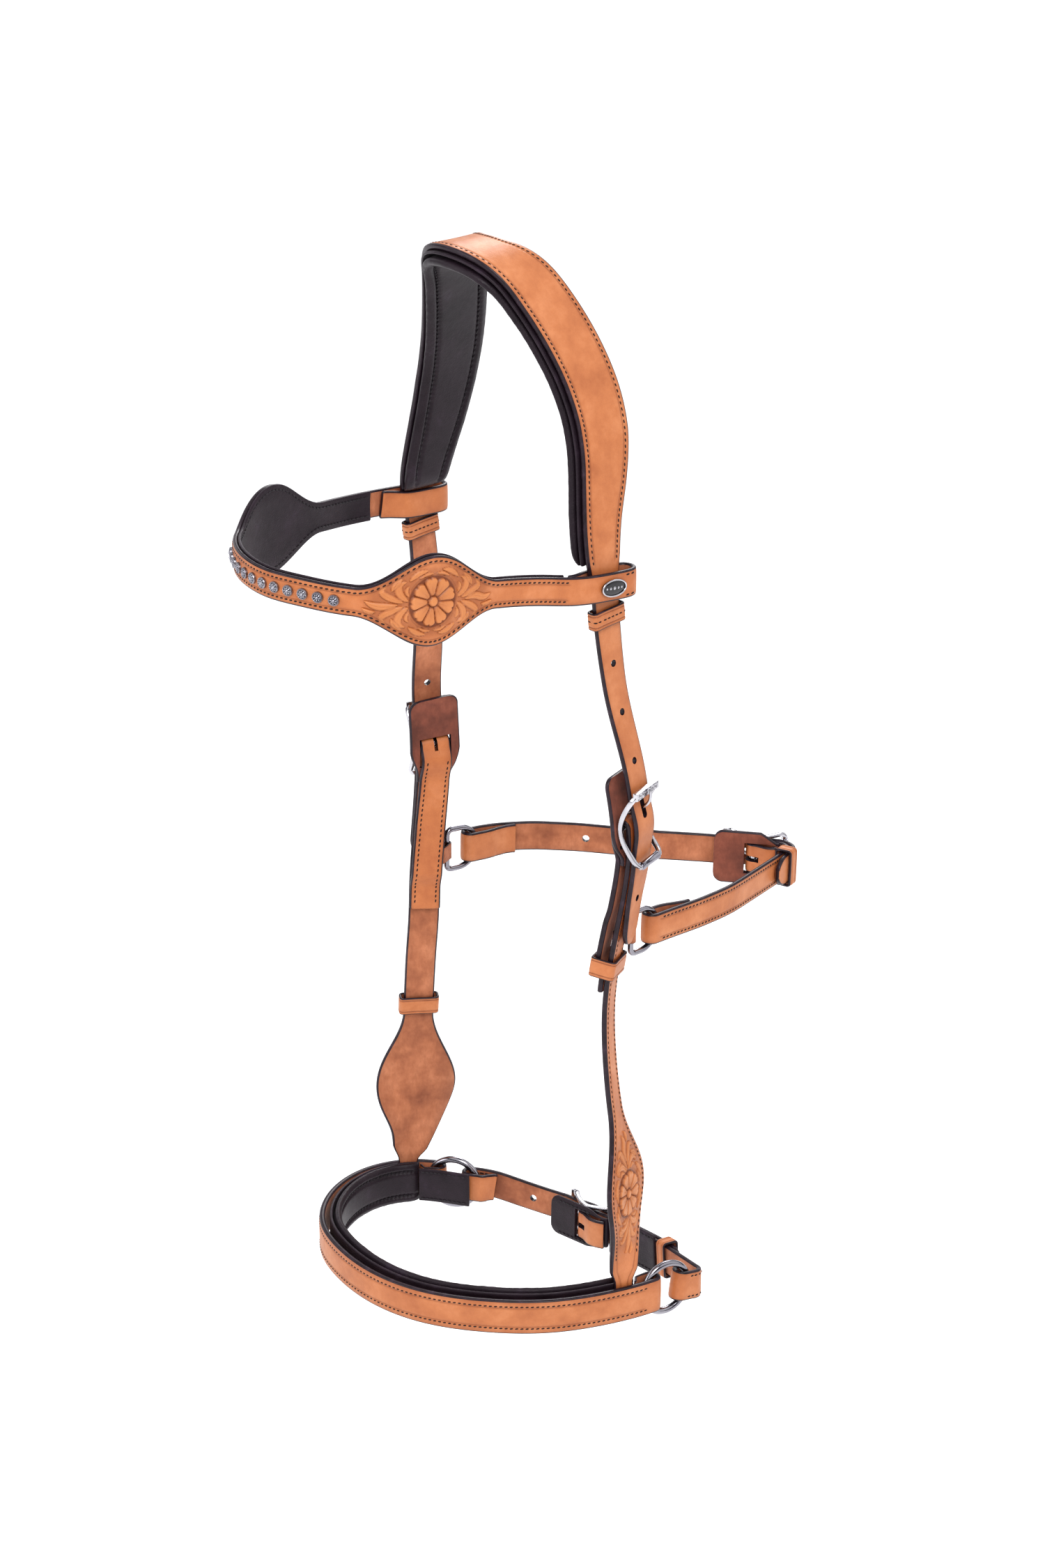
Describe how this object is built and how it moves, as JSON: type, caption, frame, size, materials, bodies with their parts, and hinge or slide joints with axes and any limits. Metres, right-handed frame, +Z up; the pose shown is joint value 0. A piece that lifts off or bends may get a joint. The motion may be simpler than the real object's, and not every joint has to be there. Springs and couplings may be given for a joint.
{
  "type": "bitless bridle",
  "caption": "Leather head harness for a horse with padded headpiece, studded browband, cheek straps, padded noseband, chin strap, jowl strap and rein rings in place of a bit.",
  "frame": {"origin": "the poll: centre of the underside of the padded headpiece", "axes": "+Z up, +X towards the horse's left (near) side, -Y the way the horse faces, so the browband is at -Y and the jowl strap at +Y"},
  "size_m": [0.1919, 0.3127, 0.5518],
  "materials": {
    "tan_leather": "smooth waxed grain side, dark painted edges, stitched",
    "carved_leather": "carved and stamped grain side, dark painted edges",
    "guard_leather": "rougher flesh side",
    "black_leather": "soft black lining leather, slight sheen",
    "foam": "closed cell foam, hidden",
    "nickel": "polished nickel plate",
    "dark_nickel": "polished plate with dark recesses"
  },
  "bodies": {
    "bridle": {"far_cheek_buckle_frame": "nickel", "far_cheek_buckle_guard": "guard_leather", "far_cheekpiece": "carved_leather", "far_dee_tab": "tan_leather", "far_ring_cover": "black_leather", "headpiece_flange": "black_leather", "headpiece_foam": "foam", "headpiece_lining": "black_leather", "headpiece_strap": "tan_leather", "near_cheek_buckle_frame": "nickel", "near_cheek_buckle_guard": "guard_leather", "near_cheekpiece": "carved_leather", "near_dee_tab": "tan_leather", "noseband_flange": "black_leather", "noseband_foam": "foam", "noseband_leather": "tan_leather", "noseband_lining": "black_leather"},
    "browband": {"browband_leather": "carved_leather", "browband_lining": "black_leather", "browband_conchos": "dark_nickel", "browband_badge": "dark_nickel"},
    "jowl_strap": {"jowl_billet_strap": "tan_leather", "jowl_buckle_strap": "tan_leather", "jowl_buckle_frame": "nickel", "jowl_buckle_guard": "guard_leather"},
    "chin_strap": {"chin_billet_strap": "tan_leather", "chin_buckle_strap": "tan_leather", "chin_buckle_frame": "nickel", "chin_buckle_guard": "black_leather", "chin_pad": "black_leather"},
    "near_dee": {"near_jowl_dee": "nickel"},
    "far_dee": {"far_jowl_dee": "nickel"},
    "near_ring": {"near_rein_ring": "nickel"},
    "far_ring": {"far_rein_ring": "nickel"},
    "near_tongue": {"near_cheek_buckle_tongue": "nickel"},
    "far_tongue": {"far_cheek_buckle_tongue": "nickel"},
    "jowl_tongue": {"jowl_buckle_tongue": "nickel"},
    "chin_tongue": {"chin_buckle_tongue": "nickel"},
    "near_roller": {"near_cheek_buckle_roller": "nickel"},
    "far_roller": {"far_cheek_buckle_roller": "nickel"},
    "jowl_roller": {"jowl_buckle_roller": "nickel"},
    "chin_roller": {"chin_buckle_roller": "nickel"},
    "near_upper_loop": {"near_upper_keeper": "tan_leather"},
    "far_upper_loop": {"far_upper_keeper": "tan_leather"},
    "near_lower_loop": {"near_lower_keeper": "tan_leather"},
    "far_lower_loop": {"far_lower_keeper": "tan_leather"},
    "jowl_loop": {"jowl_keeper": "tan_leather"},
    "chin_loop": {"chin_keeper": "tan_leather"}
  },
  "joints": [
    {"name": "browband_tilt", "type": "hinge", "parent": "bridle", "child": "browband", "pos_m": [0, 0.0235, -0.1395], "axis": [0.9991, 0, -0.0428], "range_deg": [0, 5]},
    {"name": "jowl_strap_swing", "type": "hinge", "parent": "bridle", "child": "jowl_strap", "pos_m": [0.07071, 0.04795, -0.32738], "axis": [0.9998, 0.0012, 0.021], "range_deg": [-12, 12]},
    {"name": "chin_strap_swing", "type": "hinge", "parent": "bridle", "child": "chin_strap", "pos_m": [0.08891, 0.0515, -0.521], "axis": [0.9971, 0.0755, 0], "range_deg": [-4, 4]},
    {"name": "near_dee_swing", "type": "hinge", "parent": "bridle", "child": "near_dee", "pos_m": [0.07122, 0.04098, -0.32715], "axis": [0, 0, 1], "range_deg": [-2, 2]},
    {"name": "far_dee_swing", "type": "hinge", "parent": "bridle", "child": "far_dee", "pos_m": [-0.07205, 0.04084, -0.33021], "axis": [0, 0, 1], "range_deg": [-2, 2]},
    {"name": "near_ring_turn", "type": "hinge", "parent": "bridle", "child": "near_ring", "pos_m": [0.08891, 0.0515, -0.521], "axis": [0.9914, -0.1308, 0], "continuous": true},
    {"name": "far_ring_turn", "type": "hinge", "parent": "bridle", "child": "far_ring", "pos_m": [-0.06679, 0.03971, -0.521], "axis": [-0.5943, 0.8043, 0], "continuous": true},
    {"name": "near_tongue_lift", "type": "hinge", "parent": "bridle", "child": "near_tongue", "pos_m": [0.07628, 0.03568, -0.26471], "axis": [-0.292, 0.9546, 0.0595], "range_deg": [0, 10]},
    {"name": "far_tongue_lift", "type": "hinge", "parent": "bridle", "child": "far_tongue", "pos_m": [-0.0763, 0.03596, -0.27072], "axis": [-0.3043, -0.9519, -0.0364], "range_deg": [0, 10]},
    {"name": "jowl_tongue_lift", "type": "hinge", "parent": "jowl_strap", "child": "jowl_tongue", "pos_m": [0.02931, 0.1627, -0.3339], "axis": [-0.0145, -0.0126, -0.9998], "range_deg": [0, 10]},
    {"name": "chin_tongue_lift", "type": "hinge", "parent": "chin_strap", "child": "chin_tongue", "pos_m": [0.00383, 0.07196, -0.52756], "axis": [-0.0259, -0.0046, -0.9997], "range_deg": [0, 10]},
    {"name": "near_roller_spin", "type": "hinge", "parent": "bridle", "child": "near_roller", "pos_m": [0.08563, 0.03967, -0.28283], "axis": [-0.292, 0.9546, 0.0595], "continuous": true},
    {"name": "far_roller_spin", "type": "hinge", "parent": "bridle", "child": "far_roller", "pos_m": [-0.08509, 0.03947, -0.28921], "axis": [-0.3043, -0.9519, -0.0364], "continuous": true},
    {"name": "jowl_roller_spin", "type": "hinge", "parent": "jowl_strap", "child": "jowl_roller", "pos_m": [0.03439, 0.17968, -0.33419], "axis": [-0.0145, -0.0126, -0.9998], "continuous": true},
    {"name": "chin_roller_spin", "type": "hinge", "parent": "chin_strap", "child": "chin_roller", "pos_m": [0.01696, 0.08387, -0.52795], "axis": [-0.0259, -0.0046, -0.9997], "continuous": true},
    {"name": "near_upper_keeper_slide", "type": "slide", "parent": "bridle", "child": "near_upper_loop", "axis": [-0.0066, 0.1086, -0.9941], "range_m": [0, 0.005]},
    {"name": "far_upper_keeper_slide", "type": "slide", "parent": "bridle", "child": "far_upper_loop", "axis": [0.0314, 0.1135, -0.993], "range_m": [0, 0.008]},
    {"name": "near_lower_keeper_slide", "type": "slide", "parent": "bridle", "child": "near_lower_loop", "axis": [-0.0736, -0.1378, -0.9877], "range_m": [0, 0.008]},
    {"name": "far_lower_keeper_slide", "type": "slide", "parent": "bridle", "child": "far_lower_loop", "axis": [-0.1357, 0.0509, -0.9894], "range_m": [-0.012, 0]},
    {"name": "jowl_keeper_slide", "type": "slide", "parent": "jowl_strap", "child": "jowl_loop", "axis": [0.3268, -0.9446, 0.0313], "range_m": [0, 0.002]},
    {"name": "chin_keeper_slide", "type": "slide", "parent": "chin_strap", "child": "chin_loop", "axis": [0.9849, -0.1487, 0.0891], "range_m": [-0.001, 0.001]}
  ]
}
